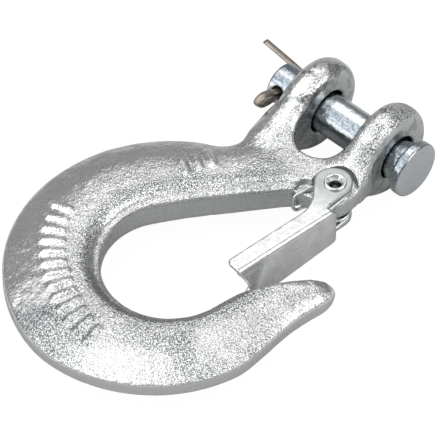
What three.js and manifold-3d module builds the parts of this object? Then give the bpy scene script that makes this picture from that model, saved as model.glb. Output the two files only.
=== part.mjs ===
// Clevis slip hook with a spring-loaded safety latch.
//
// Millimetres, +Z up. The origin is the middle of the clevis pin, between the two ears.
// +X points out of the clevis, -X towards the bowl of the hook, and the pin lies along Y.
// The hook is flat in the XY plane, with its forging parting plane at Z = 0.

import * as THREE from 'three';
import { mergeVertices } from 'three/addons/utils/BufferGeometryUtils.js';
import Module from 'manifold-3d';

const wasm = await Module();
wasm.setup();

// ---------------------------------------------------------------- driving dimensions

// Clevis: two ears, one on each side of a slot for the chain link.
const SLOT_WIDTH = 14;
const EAR_THICKNESS = 9.3;
const EAR_RADIUS = 12.8;
const EAR_ROUNDING = 4.2;
const EAR_SWEEP = 2.2;
const SLOT_FLOOR_X = -17.5;
const PIN_BORE_RADIUS = 6.1;

// Clevis pin (7/16 in), which rests on the bottom of its bores, and its split cotter pin.
const PIN_RADIUS = 5.55;
const PIN_DROP = 0.45;
const PIN_HEAD_RADIUS = 7.65;
const PIN_HEAD_FACE_Y = -22.6;
const PIN_HEAD_THICKNESS = 3.1;
const PIN_END_Y = 23.9;
const PIN_CHAMFER = 0.8;
const COTTER_Y = 20.4;
const COTTER_HOLE_RADIUS = 1.85;
const COTTER_LEG_WIDTH = 2.3;
const COTTER_LEG_THICKNESS = 1.25;
const COTTER_SPLIT = 0.3;
const COTTER_TILT = 20;

// Bowl of the hook: its inner edge is an arc in the XY plane that widens towards the shank,
// and its outer edge is an arc that closes in towards the point.
const BOWL_CENTRE = [-66.25, 1.4];
const BOWL_INNER_RADIUS = 17.4;
const BOWL_INNER_GROWTH = 1.2;
const BOWL_OUTER_RADIUS = 41.95;
const BOWL_OUTER_SHRINK = 0.066;
const BOWL_SHRINK_ANGLE = 174;
const BOWL_BAND_DROP = 1.3;
const BOWL_FIRST_ANGLE = 250;
const BOWL_LAST_ANGLE = 52;
const BOWL_STEPS = 15;

// Latch pivot: a thin boss on the shank carries the rivet, and the latch straddles it.
const PIVOT = [-21.35, -13.6];
const BOSS_RADIUS = 4.1;
const BOSS_HALF = 2.6;
const POCKET_RADIUS = 6.0;
const STRAND_RELIEF = [-26.3, -8.1];
const STRAND_RELIEF_RADIUS = 2.6;
const BOSS_BORE_RADIUS = 2.25;
const RIVET_RADIUS = 1.95;
const RIVET_HOLE_RADIUS = 1.4;
const RIVET_RIM_RADIUS = 2.95;
const RIVET_RIM_HEIGHT = 0.6;

// Safety latch: a channel pressed from sheet, measured from the pivot. U runs along the
// latch to its free end, V runs out of the hook's throat, and Z is the hook's own.
const LATCH_ANGLE = 173.85;
const LATCH_SHEET = 1.2;
const LATCH_HALF_WIDTH = 6.4;
const LATCH_FLARE = 1.7;
const LATCH_LENGTH = 38.5;
const LATCH_WEB_START = 6;
const LATCH_WEB_V = 7.05;
const LATCH_LIP_V = 1.9;
const LATCH_BEND = 1.6;
const LATCH_UPPER_CORNER = 1.3;
const LATCH_LOWER_CORNER = 3.2;
const LATCH_BULGE = 2.6;
const LATCH_NOTCH = 2.2;
const LATCH_BULGE_LENGTH = 15;
const LATCH_EAR_RADIUS = 4.9;
const LATCH_EAR_V = -0.7;
const LATCH_EAR_HOLE_RADIUS = 2.1;

// Latch spring: a coil on each side of the boss, joined by a loop that rests on the shank.
const SPRING_WIRE_RADIUS = 0.45;
const SPRING_COIL_RADIUS = 3.9;
const SPRING_COIL_TOP = 4.6;
const SPRING_PITCH = 1;
const SPRING_TURNS = 1.45;

// ---------------------------------------------------------------- materials

const forgedZinc = new THREE.MeshStandardMaterial({ color: 0xc9cdca, roughness: 0.42, metalness: 1 });
const turnedZinc = new THREE.MeshStandardMaterial({ color: 0xc4cacb, roughness: 0.3, metalness: 1 });
const pressedZinc = new THREE.MeshStandardMaterial({ color: 0xcfd2d0, roughness: 0.25, metalness: 1 });
const springSteel = new THREE.MeshStandardMaterial({ color: 0xd3d6d6, roughness: 0.22, metalness: 1 });
const bareSteel = new THREE.MeshStandardMaterial({ color: 0x8d8378, roughness: 0.45, metalness: 1 });

// ---------------------------------------------------------------- helpers

// A closed three.js geometry as a solid that can be cut and joined.
function solid(geometry) {
  const bare = geometry.clone();
  bare.deleteAttribute('normal');
  bare.deleteAttribute('uv');
  const merged = mergeVertices(bare, 1e-4);
  return new wasm.Manifold(new wasm.Mesh({
    numProp: 3,
    vertProperties: new Float32Array(merged.attributes.position.array),
    triVerts: new Uint32Array(merged.index.array),
  }));
}

// A solid back as a three.js geometry.
function surface(body) {
  const mesh = body.getMesh();
  const geometry = new THREE.BufferGeometry();
  geometry.setAttribute('position', new THREE.BufferAttribute(mesh.vertProperties, 3));
  geometry.setIndex(new THREE.BufferAttribute(mesh.triVerts, 1));
  geometry.computeVertexNormals();
  return geometry;
}

// A closed skin over rings of points, each anticlockwise as seen from the next one. The
// end rings are closed with flat caps, whose triangles come from the same rings laid flat.
function loft(rings, firstFlat, lastFlat) {
  const count = rings[0].length;
  const positions = rings.flat().flatMap((point) => [point.x, point.y, point.z]);
  const indices = [];
  for (let ring = 0; ring < rings.length - 1; ring += 1) {
    for (let i = 0; i < count; i += 1) {
      const a = ring * count + i;
      const b = ring * count + (i + 1) % count;
      indices.push(a, b, b + count, a, b + count, a + count);
    }
  }
  const last = (rings.length - 1) * count;
  for (const [a, b, c] of THREE.ShapeUtils.triangulateShape(firstFlat, [])) {
    indices.push(a, c, b);
  }
  for (const [a, b, c] of THREE.ShapeUtils.triangulateShape(lastFlat, [])) {
    indices.push(last + a, last + b, last + c);
  }
  const geometry = new THREE.BufferGeometry();
  geometry.setAttribute('position', new THREE.Float32BufferAttribute(positions, 3));
  geometry.setIndex(indices);
  return geometry;
}

// A cylinder along Y or Z, from one height to the other.
function cylinderY(radius, from, to, sides) {
  return new THREE.CylinderGeometry(radius, radius, to - from, sides).translate(0, (from + to) / 2, 0);
}

function cylinderZ(radius, from, to, sides) {
  return new THREE.CylinderGeometry(radius, radius, to - from, sides)
    .rotateX(Math.PI / 2)
    .translate(0, 0, (from + to) / 2);
}

function smoothStep(value) {
  const t = THREE.MathUtils.clamp(value, 0, 1);
  return t * t * (3 - 2 * t);
}

// ---------------------------------------------------------------- hook body

// One section of the hook: its inner and outer edges in plan, the half height of its
// crown, and the half heights of the trimmed bands along its inner and outer edges.
function section(inner, outer, crown, innerBand, outerBand) {
  return { inner, outer, crown, innerBand, outerBand };
}

function bowlSections() {
  const sections = [];
  for (let step = 0; step <= BOWL_STEPS; step += 1) {
    const angle = THREE.MathUtils.lerp(BOWL_FIRST_ANGLE, BOWL_LAST_ANGLE, step / BOWL_STEPS);
    const radians = THREE.MathUtils.degToRad(angle);
    const innerRadius = BOWL_INNER_RADIUS + BOWL_INNER_GROWTH * smoothStep((130 - angle) / 70);
    const outerRadius = BOWL_OUTER_RADIUS - BOWL_OUTER_SHRINK * Math.max(angle - BOWL_SHRINK_ANGLE, 0);
    const edge = (radius) => [
      BOWL_CENTRE[0] + radius * Math.cos(radians),
      BOWL_CENTRE[1] + radius * Math.sin(radians),
    ];
    const innerBand = 3.3 - BOWL_BAND_DROP * smoothStep((angle - 60) / 80);
    sections.push(section(edge(innerRadius), edge(outerRadius), 5.7, innerBand, 1.85));
  }
  return sections;
}

// The sections in order: the point, the arm below the throat, the bowl, the shank, and
// the neck that carries the clevis.
const HOOK_SECTIONS = [
  section([-43.8, -32.6], [-44.5, -34.3], 0.9, 0.5, 0.5),
  section([-44.8, -30.4], [-46.9, -35.3], 2.9, 1.8, 1.3),
  section([-47.2, -27.8], [-49.9, -35.4], 4.2, 2.6, 1.7),
  section([-51.4, -24.0], [-54.0, -34.5], 5.0, 2.4, 1.8),
  section([-56.4, -20.5], [-58.8, -33.8], 5.4, 2.3, 1.8),
  section([-61.6, -17.7], [-64.8, -33.6], 5.6, 2.1, 1.85),
  section([-66.7, -16.3], [-71.4, -33.7], 5.7, 2.0, 1.85),
  ...bowlSections(),
  section([-47.0, 10.4], [-35.0, 29.3], 5.6, 3.3, 1.85),
  section([-40.0, 4.6], [-31.1, 23.9], 5.5, 3.3, 2.0),
  section([-33.5, -0.8], [-28.4, 18.4], 5.4, 3.2, 2.4),
  section([-27.7, -6.4], [-25.4, 15.9], 5.2, 3.0, 2.8),
  section([-25.9, -12.5], [-21.9, 15.4], 5.1, 2.7, 3.0),
  section([-21.0, -17.4], [-17.6, 15.6], 5.1, 2.6, 3.2),
  section([-15.8, -17.4], [-14.8, 16.0], 5.1, 2.6, 3.2),
  section([-11.5, -16.5], [-11.5, 16.3], 5.1, 2.6, 3.2),
];

// The outline of a section, anticlockwise: across is a distance from the inner edge, and
// up is a height. Its upper half is mirrored below.
function sectionOutline({ inner, outer, crown, innerBand, outerBand }) {
  const width = Math.hypot(outer[0] - inner[0], outer[1] - inner[1]);
  const rise = (share) => THREE.MathUtils.lerp(innerBand, crown, share);
  const fall = (share) => THREE.MathUtils.lerp(outerBand, crown, share);
  const top = [
    [0, innerBand],
    [0.08, rise(0.35)],
    [0.16, rise(0.86)],
    [0.32, crown],
    [0.5, fall(0.96)],
    [0.7, fall(0.72)],
    [0.88, fall(0.34)],
    [1, outerBand],
  ];
  const upper = top.map(([share, height]) => new THREE.Vector2(share * width, height));
  const lower = upper.map((point) => new THREE.Vector2(point.x, -point.y)).reverse();
  return [...upper, ...lower].reverse();
}

// Sections between the given ones, along smooth curves through them.
function refinedSections(sections, perSpan) {
  const through = (pick) => new THREE.CatmullRomCurve3(
    sections.map((entry) => new THREE.Vector3(...pick(entry))), false, 'centripetal');
  const inner = through((entry) => [...entry.inner, 0]);
  const outer = through((entry) => [...entry.outer, 0]);
  const spans = (sections.length - 1) * perSpan;
  const refined = [];
  for (let step = 0; step <= spans; step += 1) {
    const position = step / perSpan;
    const index = Math.min(Math.floor(position), sections.length - 2);
    const share = position - index;
    const between = (key) => THREE.MathUtils.lerp(sections[index][key], sections[index + 1][key], share);
    const a = inner.getPoint(step / spans);
    const b = outer.getPoint(step / spans);
    const heights = ['crown', 'innerBand', 'outerBand'].map(between);
    refined.push(section([a.x, a.y], [b.x, b.y], ...heights));
  }
  return refined;
}

function hookLoft() {
  const sections = refinedSections(HOOK_SECTIONS, 2);
  const flats = sections.map(sectionOutline);
  const rings = sections.map(({ inner, outer }, index) => {
    const start = new THREE.Vector3(...inner, 0);
    const across = new THREE.Vector3(...outer, 0).sub(start).normalize();
    return flats[index].map((point) => start.clone().addScaledVector(across, point.x).setZ(point.y));
  });
  return solid(loft(rings, flats[0], flats.at(-1)));
}

// One arm of the clevis: a round ear that runs back into the neck, seen from the side,
// with rounded edges.
function clevisArm(side) {
  const radius = EAR_RADIUS - EAR_ROUNDING;
  const shape = new THREE.Shape();
  shape.absarc(0, 0, radius, -EAR_SWEEP, EAR_SWEEP, false);
  shape.quadraticCurveTo(-12, 2.2, -18.5, 0.8);
  shape.lineTo(-18.5, -0.8);
  shape.quadraticCurveTo(-12, -2.2, radius * Math.cos(EAR_SWEEP), -radius * Math.sin(EAR_SWEEP));
  const arm = new THREE.ExtrudeGeometry(shape, {
    depth: EAR_THICKNESS - 2 * EAR_ROUNDING,
    curveSegments: 24,
    bevelThickness: EAR_ROUNDING,
    bevelSize: EAR_ROUNDING,
    bevelSegments: 3,
  });
  const middle = side * (SLOT_WIDTH + EAR_THICKNESS) / 2;
  arm.translate(0, 0, -(EAR_THICKNESS - 2 * EAR_ROUNDING) / 2).rotateX(Math.PI / 2);
  return solid(arm.translate(0, middle, 0));
}

// The slot between the ears, with a round floor, right through the neck.
function clevisSlot() {
  const half = SLOT_WIDTH / 2;
  const shape = new THREE.Shape();
  shape.moveTo(30, -half);
  shape.lineTo(30, half);
  shape.lineTo(SLOT_FLOOR_X + half, half);
  shape.absarc(SLOT_FLOOR_X + half, 0, half, Math.PI / 2, 3 * Math.PI / 2, false);
  shape.closePath();
  const slot = new THREE.ExtrudeGeometry(shape, { depth: 40, bevelEnabled: false, curveSegments: 16 });
  return solid(slot.translate(0, 0, -20));
}

// The room above the boss for the latch's ear and coil, and for the spring's strand.
function bossPocket() {
  const round = solid(cylinderZ(POCKET_RADIUS, BOSS_HALF, 20, 40).translate(...PIVOT, 0));
  const relief = cylinderZ(STRAND_RELIEF_RADIUS, BOSS_HALF, 20, 24).translate(...STRAND_RELIEF, 0);
  return round.add(solid(relief));
}

function hookBody() {
  const boss = solid(cylinderZ(BOSS_RADIUS, -BOSS_HALF, BOSS_HALF, 40).translate(...PIVOT, 0));
  const bossBore = solid(cylinderZ(BOSS_BORE_RADIUS, -20, 20, 32).translate(...PIVOT, 0));
  const pinBore = solid(cylinderY(PIN_BORE_RADIUS, -30, 30, 48));
  return hookLoft()
    .add(clevisArm(1))
    .add(clevisArm(-1))
    .add(boss)
    .subtract(clevisSlot())
    .subtract(bossPocket())
    .subtract(bossPocket().mirror([0, 0, 1]))
    .subtract(bossBore)
    .subtract(pinBore);
}

// ---------------------------------------------------------------- clevis pin and cotter

function clevisPin() {
  const profile = [
    [0, PIN_HEAD_FACE_Y],
    [PIN_HEAD_RADIUS - 1, PIN_HEAD_FACE_Y],
    [PIN_HEAD_RADIUS - 0.3, PIN_HEAD_FACE_Y + 0.3],
    [PIN_HEAD_RADIUS, PIN_HEAD_FACE_Y + 1],
    [PIN_HEAD_RADIUS, PIN_HEAD_FACE_Y + PIN_HEAD_THICKNESS - 0.4],
    [PIN_HEAD_RADIUS - 0.4, PIN_HEAD_FACE_Y + PIN_HEAD_THICKNESS],
    [PIN_RADIUS, PIN_HEAD_FACE_Y + PIN_HEAD_THICKNESS],
    [PIN_RADIUS, PIN_END_Y - PIN_CHAMFER],
    [PIN_RADIUS - PIN_CHAMFER, PIN_END_Y],
    [0, PIN_END_Y],
  ].map(([radius, height]) => new THREE.Vector2(radius, height));
  const hole = cylinderZ(COTTER_HOLE_RADIUS, -10, 10, 24)
    .rotateY(-Math.PI / 2 + THREE.MathUtils.degToRad(COTTER_TILT))
    .translate(0, COTTER_Y, 0);
  const pin = solid(new THREE.LatheGeometry(profile, 48)).subtract(solid(hole));
  return surface(pin).translate(0, 0, -PIN_DROP);
}

// The cotter lies in its own frame: A runs along its legs, from the eye through the pin,
// B runs across the pin's end, along Y, and C is across both, in the plane of the eye.
function cotterPoint(a, b, c) {
  const tilt = THREE.MathUtils.degToRad(COTTER_TILT);
  return new THREE.Vector3(
    a * Math.cos(tilt) + c * Math.sin(tilt),
    COTTER_Y + b,
    -a * Math.sin(tilt) + c * Math.cos(tilt) - PIN_DROP,
  );
}

// The direction across a strip at each step of its path. It is given at one step, and
// carried from there to both ends without twisting.
function widthDirections(path, steps, from, given) {
  const directions = [];
  const carry = (wide, step) => {
    const along = path.getTangentAt(step / steps);
    return wide.clone().addScaledVector(along, -wide.dot(along)).normalize();
  };
  directions[from] = carry(given, from);
  for (let step = from + 1; step <= steps; step += 1) {
    directions[step] = carry(directions[step - 1], step);
  }
  for (let step = from - 1; step >= 0; step -= 1) {
    directions[step] = carry(directions[step + 1], step);
  }
  return directions;
}

// A leg is half round, with its flat towards the other leg. The strip is swept along the
// middle of the wire, and its section keeps its width across the eye's plane.
function cotterPin() {
  const offset = (COTTER_LEG_THICKNESS + COTTER_SPLIT) / 2;
  const path = new THREE.CatmullRomCurve3([
    cotterPoint(7.4, 15.4, 2.9),
    cotterPoint(7.4, 9, 2),
    cotterPoint(7.4, 4.5, 1.3),
    cotterPoint(7.1, 1.6, offset + 0.1),
    cotterPoint(6.2, 0.1, offset),
    cotterPoint(5.4, 0, offset),
    cotterPoint(0, 0, offset),
    cotterPoint(-5.8, 0, offset),
    cotterPoint(-7.2, 0, offset + 0.3),
    cotterPoint(-9.2, 0, offset + 1),
    cotterPoint(-11.8, 0, offset + 1),
    cotterPoint(-13.5, 0, 0),
    cotterPoint(-11.8, 0, -offset - 1),
    cotterPoint(-9.2, 0, -offset - 1),
    cotterPoint(-7.2, 0, -offset - 0.3),
    cotterPoint(-5.8, 0, -offset),
    cotterPoint(0, 0, -offset),
    cotterPoint(5.4, 0, -offset),
    cotterPoint(6.4, 0.1, -offset - 0.1),
    cotterPoint(7.3, 0.4, -offset - 1.5),
    cotterPoint(7.4, 0.6, -offset - 4),
    cotterPoint(7.0, 1, -offset - 8),
  ], false, 'centripetal');
  const steps = 72;
  const sides = 8;
  const rings = [];
  const flat = [];
  for (let i = 0; i < sides; i += 1) {
    const angle = 2 * Math.PI * i / sides;
    flat.push(new THREE.Vector2(
      COTTER_LEG_WIDTH / 2 * Math.cos(angle),
      COTTER_LEG_THICKNESS / 2 * Math.sin(angle),
    ));
  }
  const wide = widthDirections(path, steps, steps / 2, new THREE.Vector3(0, 1, 0));
  for (let step = 0; step <= steps; step += 1) {
    const middle = path.getPointAt(step / steps);
    const thick = new THREE.Vector3().crossVectors(path.getTangentAt(step / steps), wide[step]);
    rings.push(flat.map((point) => middle.clone()
      .addScaledVector(wide[step], point.x)
      .addScaledVector(thick, point.y)));
  }
  return loft(rings, flat, flat);
}

// ---------------------------------------------------------------- latch, rivet and spring

// The latch is built about its pivot in its own U, V and Z, then turned into place.
function placeOnPivot(geometry) {
  const angle = THREE.MathUtils.degToRad(LATCH_ANGLE);
  return geometry.rotateZ(angle).translate(...PIVOT, 0);
}

// A flat side of the channel with its ear, as a plate up from a height. The lip's corner at
// the free end is rounded off by the given amount.
function latchPlate(from, corner) {
  const web = LATCH_WEB_V - LATCH_BEND;
  const earEdge = 4.2;
  const shape = new THREE.Shape();
  shape.moveTo(LATCH_WEB_START, earEdge);
  shape.absarc(0, LATCH_EAR_V, LATCH_EAR_RADIUS, Math.PI / 2, Math.atan2(-2.85, 4), false);
  shape.bezierCurveTo(6.2, -1.9, 7.6, 1.2, 13, LATCH_LIP_V);
  shape.lineTo(LATCH_LENGTH - corner, LATCH_LIP_V);
  shape.quadraticCurveTo(LATCH_LENGTH, LATCH_LIP_V, LATCH_LENGTH, LATCH_LIP_V + corner);
  shape.lineTo(LATCH_LENGTH, web);
  shape.lineTo(LATCH_WEB_START, web);
  shape.closePath();
  const plate = new THREE.ExtrudeGeometry(shape, {
    depth: LATCH_SHEET,
    bevelEnabled: false,
    curveSegments: 12,
  });
  return solid(plate.translate(0, 0, from));
}

// How far a place along the latch is into its dished free end, from 0 to 1.
function dishShare(along) {
  return smoothStep(1 - (LATCH_LENGTH - along) / LATCH_BULGE_LENGTH);
}

// The outline of the web and its two bends at a distance along the latch, as V and Z.
// Near the free end the middle of the web bulges out, to meet the point of the hook.
function webOutline(along) {
  const bendZ = LATCH_HALF_WIDTH - LATCH_BEND;
  const bendV = LATCH_WEB_V - LATCH_BEND;
  const bulge = LATCH_BULGE * dishShare(along);
  const wall = (radius) => {
    const points = [new THREE.Vector2(bendV - 0.4, bendZ + radius)];
    for (const degrees of [90, 60, 30]) {
      const angle = THREE.MathUtils.degToRad(degrees);
      points.push(new THREE.Vector2(bendV + radius * Math.cos(angle), bendZ + radius * Math.sin(angle)));
    }
    for (const level of [1, 0.66, 0.33]) {
      const out = bulge * Math.cos(level * Math.PI / 2);
      points.push(new THREE.Vector2(bendV + radius + out, level * bendZ));
    }
    return points;
  };
  const whole = (half) => {
    const apex = new THREE.Vector2(half[6].x + bulge * (1 - Math.cos(0.33 * Math.PI / 2)), 0);
    return [...half, apex, ...half.map((point) => new THREE.Vector2(point.x, -point.y)).reverse()];
  };
  const outside = whole(wall(LATCH_BEND));
  const inside = whole(wall(LATCH_BEND - LATCH_SHEET)).reverse();
  return [...outside, ...inside].reverse();
}

function latchWeb() {
  const stations = [LATCH_WEB_START];
  const steps = 7;
  for (let step = 0; step <= steps; step += 1) {
    stations.push(LATCH_LENGTH - LATCH_BULGE_LENGTH * (1 - step / steps));
  }
  const flats = stations.map(webOutline);
  const rings = stations.map((along, index) => flats[index].map((point) => {
    const level = THREE.MathUtils.clamp(point.y / (LATCH_HALF_WIDTH - LATCH_BEND), -1, 1);
    const notch = LATCH_NOTCH * (1 - level * level) * dishShare(along) ** 2;
    return new THREE.Vector3(along - notch, point.x, point.y);
  }));
  return solid(loft(rings, flats[0], flats.at(-1)));
}

// The channel grows wider from the near end of its web to its free end.
function flare(geometry) {
  const position = geometry.attributes.position;
  for (let i = 0; i < position.count; i += 1) {
    const share = Math.max(position.getX(i) - LATCH_WEB_START, 0) / (LATCH_LENGTH - LATCH_WEB_START);
    const height = position.getZ(i);
    const level = THREE.MathUtils.clamp(height / (LATCH_HALF_WIDTH - LATCH_BEND), -1, 1);
    position.setZ(i, height + LATCH_FLARE * share * level);
  }
  return geometry;
}

function safetyLatch() {
  const hole = solid(cylinderZ(LATCH_EAR_HOLE_RADIUS, -20, 20, 32));
  const latch = latchWeb()
    .add(latchPlate(LATCH_HALF_WIDTH - LATCH_SHEET, LATCH_UPPER_CORNER))
    .add(latchPlate(-LATCH_HALF_WIDTH, LATCH_LOWER_CORNER))
    .subtract(hole);
  return placeOnPivot(flare(surface(latch)));
}

// A tube rivet, with both of its ends rolled over the ears.
function latchRivet() {
  const under = LATCH_HALF_WIDTH + 0.1;
  const top = under + RIVET_RIM_HEIGHT;
  const end = [
    [RIVET_HOLE_RADIUS, top - 0.5],
    [RIVET_HOLE_RADIUS + 0.4, top],
    [RIVET_RIM_RADIUS - 0.5, top],
    [RIVET_RIM_RADIUS, under + 0.15],
    [RIVET_RIM_RADIUS - 0.1, under],
    [RIVET_RADIUS, under],
  ];
  const mirrored = end.map(([radius, height]) => [radius, -height]);
  const profile = [...mirrored, ...end.reverse(), mirrored[0]]
    .map(([radius, height]) => new THREE.Vector2(radius, height));
  return new THREE.LatheGeometry(profile, 32).rotateX(Math.PI / 2).translate(...PIVOT, 0);
}

// The wire's middle line, from the leg on one side of the latch's web to the leg on the
// other. Angles run about the pivot, in the latch's U and V.
function springPath() {
  const half = [];
  const perTurn = 14;
  const coilSteps = Math.round(SPRING_TURNS * perTurn);
  const legAngle = Math.PI / 2;
  half.push([13.5, 5.2, SPRING_COIL_TOP - 0.2]);
  half.push([9, 4.95, SPRING_COIL_TOP - 0.1]);
  half.push([4, SPRING_COIL_RADIUS + 0.4, SPRING_COIL_TOP]);
  for (let step = 0; step <= coilSteps; step += 1) {
    const angle = legAngle + 2 * Math.PI * step / perTurn;
    const height = SPRING_COIL_TOP - SPRING_PITCH * step / perTurn;
    half.push([SPRING_COIL_RADIUS * Math.cos(angle), SPRING_COIL_RADIUS * Math.sin(angle), height]);
  }
  const strandZ = SPRING_COIL_TOP - SPRING_PITCH * SPRING_TURNS;
  half.push([3.1, -4.7, strandZ + 0.05]);
  half.push([5.6, -5.4, strandZ]);
  half.push([7.8, -5.8, strandZ - 0.3]);
  half.push([8.6, -6, strandZ - 1.5]);
  const lower = half.map(([u, v, z]) => [u, v, -z]).reverse();
  return [...half, [8.7, -6.1, 0], ...lower];
}

function latchSpring() {
  const angle = THREE.MathUtils.degToRad(LATCH_ANGLE);
  const points = springPath().map(([u, v, z]) => new THREE.Vector3(u, v, z)
    .applyAxisAngle(new THREE.Vector3(0, 0, 1), angle)
    .add(new THREE.Vector3(...PIVOT, 0)));
  const wire = new THREE.Shape();
  wire.absarc(0, 0, SPRING_WIRE_RADIUS, 0, 2 * Math.PI, false);
  return new THREE.ExtrudeGeometry(wire, {
    steps: 130,
    curveSegments: 6,
    bevelEnabled: false,
    extrudePath: new THREE.CatmullRomCurve3(points, false, 'centripetal'),
  });
}

// ---------------------------------------------------------------- assembly

function piece(name, geometry, material) {
  const mesh = new THREE.Mesh(geometry, material);
  mesh.name = name;
  return mesh;
}

const hook = new THREE.Group();
hook.add(piece('hook_body', surface(hookBody()), forgedZinc));
hook.add(piece('clevis_pin', clevisPin(), turnedZinc));
hook.add(piece('cotter_pin', cotterPin(), bareSteel));
hook.add(piece('safety_latch', safetyLatch(), pressedZinc));
hook.add(piece('latch_rivet', latchRivet(), turnedZinc));
hook.add(piece('latch_spring', latchSpring(), springSteel));

export default hook;
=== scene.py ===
"""The looks of a clevis slip hook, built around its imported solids.

Pieces are worked out in millimetres in the row frame, and scaled to metres when their
meshes are made.
"""

import itertools
import math

import bpy
import numpy as np
from mathutils import Matrix, Vector
from mathutils.bvhtree import BVHTree


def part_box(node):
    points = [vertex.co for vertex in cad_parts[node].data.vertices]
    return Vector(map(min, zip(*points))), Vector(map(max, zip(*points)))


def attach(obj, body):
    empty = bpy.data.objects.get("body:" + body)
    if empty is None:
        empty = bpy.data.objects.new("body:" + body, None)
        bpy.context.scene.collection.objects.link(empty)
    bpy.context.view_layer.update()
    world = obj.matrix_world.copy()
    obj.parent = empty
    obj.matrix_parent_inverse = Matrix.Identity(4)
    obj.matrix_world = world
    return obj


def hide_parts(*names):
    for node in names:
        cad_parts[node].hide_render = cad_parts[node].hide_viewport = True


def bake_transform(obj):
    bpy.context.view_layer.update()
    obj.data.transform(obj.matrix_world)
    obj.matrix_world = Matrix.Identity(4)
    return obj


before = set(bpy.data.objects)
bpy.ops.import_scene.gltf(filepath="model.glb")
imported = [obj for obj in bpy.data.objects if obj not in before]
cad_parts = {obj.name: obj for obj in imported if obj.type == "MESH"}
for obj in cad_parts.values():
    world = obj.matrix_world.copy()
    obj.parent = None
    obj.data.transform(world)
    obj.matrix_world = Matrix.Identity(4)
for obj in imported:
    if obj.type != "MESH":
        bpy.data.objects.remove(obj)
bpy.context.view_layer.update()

MM = 0.001
CELL_CORNERS = tuple(itertools.product((0, 1), repeat=3))

# ---------------------------------------------------------------- dimensions, as in the solids

SLOT_HALF = 7
EAR_THICKNESS = 9.3
EAR_RADIUS = 12.8
EAR_ROUNDING = 4.2
EAR_SWEEP = 2.2
SLOT_FLOOR_X = -17.5
PIN_BORE_RADIUS = 6.1

PIN_RADIUS = 5.55
PIN_DROP = 0.45
PIN_HEAD_RADIUS = 7.65
PIN_HEAD_FACE_Y = -22.6
PIN_HEAD_THICKNESS = 3.1
PIN_END_Y = 23.9
COTTER_Y = 20.4
COTTER_HOLE_RADIUS = 1.85
COTTER_TILT = math.radians(20)
COTTER_GAP = 0.775
COTTER_HALF_WIDTH = 1.05
COTTER_HALF_THICKNESS = 0.6

# The bowl's radii change with the angle round its centre, counted in degrees from +X.
BOWL_CENTRE = np.array([-66.25, 1.4])
BOWL_ANGLES = np.linspace(250, 52, 16)
BOWL_INNER_RADIUS = 17.4
BOWL_INNER_GROWTH = 1.2
BOWL_OUTER_RADIUS = 41.95
BOWL_OUTER_SHRINK = 0.066
BOWL_SHRINK_ANGLE = 174
BOWL_INNER_BAND = 3.3
BOWL_BAND_DROP = 1.3
BOWL_OUTER_BAND = 1.85
BOWL_CROWN = 5.7

PIVOT = np.array([-21.35, -13.6])
BOSS_RADIUS = 4.1
BOSS_HALF = 2.6
POCKET_RADIUS = 5.95
STRAND_RELIEF = (-26.3, -8.1)
STRAND_RELIEF_RADIUS = 2.6
BOSS_BORE_RADIUS = 2.25

LATCH_ANGLE = math.radians(173.85)
LATCH_SHEET = 1.2
LATCH_HALF_WIDTH = 6.4
LATCH_FLARE = 1.7
LATCH_LENGTH = 38.5
LATCH_WEB_START = 6.0
LATCH_NEAR_EDGE = 5.7
LATCH_NEAR_SWEEP = 1.5
LATCH_WEB_V = 7.05
LATCH_THROAT_TOP = 4.6
LATCH_LIP_V = 1.9
LATCH_BEND = 1.6
LATCH_UPPER_CORNER = 1.3
LATCH_LOWER_CORNER = 8
LATCH_BULGE = 2.6
LATCH_NOTCH = 2.2
LATCH_BULGE_LENGTH = 15
LATCH_EAR_RADIUS = 4.9
LATCH_EAR_V = -0.7
LATCH_EAR_HOLE_RADIUS = 2.1

RIVET_RIM_TOP = 7.08
RIVET_RIM_RADIUS = 2.93
RIVET_RADIUS = 1.95
RIVET_HOLE_RADIUS = 1.35
RIVET_ROLL_RADIUS = 0.42
RIVET_SIDES = 56

SPRING_WIRE_RADIUS = 0.45
SPRING_COIL_RADIUS = 3.9
SPRING_COIL_TOP = 4.6
SPRING_PITCH = 1.0
SPRING_TURNS = 1.45
SPRING_TURN_POINTS = 14

# ---------------------------------------------------------------- number helpers


def smooth_step(value):
    """The value held between 0 and 1, and eased at both ends."""
    t = np.clip(value, 0, 1)
    return t * t * (3 - 2 * t)


def ramp(value, start, width):
    """Rises from 0 at the start to 1 at that width past it."""
    return smooth_step((value - start) / width)


def fade(value, end, width):
    """Falls from 1, at that width short of the end, to 0 at the end."""
    return smooth_step((end - value) / width)


def smooth_min(a, b, width):
    """The lower of two fields, with a fillet of about that width where they meet."""
    near = np.maximum(width - np.abs(a - b), 0) / width
    return np.minimum(a, b) - near * near * width / 4


def smooth_max(a, b, width):
    """The higher of two fields, with a rounding of about that width where they meet."""
    return -smooth_min(-a, -b, width)


def lumps(points, size, seed):
    """Seeded noise from -1 to 1 at the points, with smooth lumps of about that size."""
    period = 32
    lattice = np.random.default_rng(seed).uniform(-1, 1, (period, period, period))
    scaled = points / size
    cell = np.floor(scaled).astype(int)
    share = smooth_step(scaled - cell)
    total = np.zeros(len(points))
    for corner in CELL_CORNERS:
        weight = np.prod(np.where(corner, share, 1 - share), axis=1)
        i, j, k = ((cell + corner) % period).T
        total += weight * lattice[i, j, k]
    return total


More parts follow.
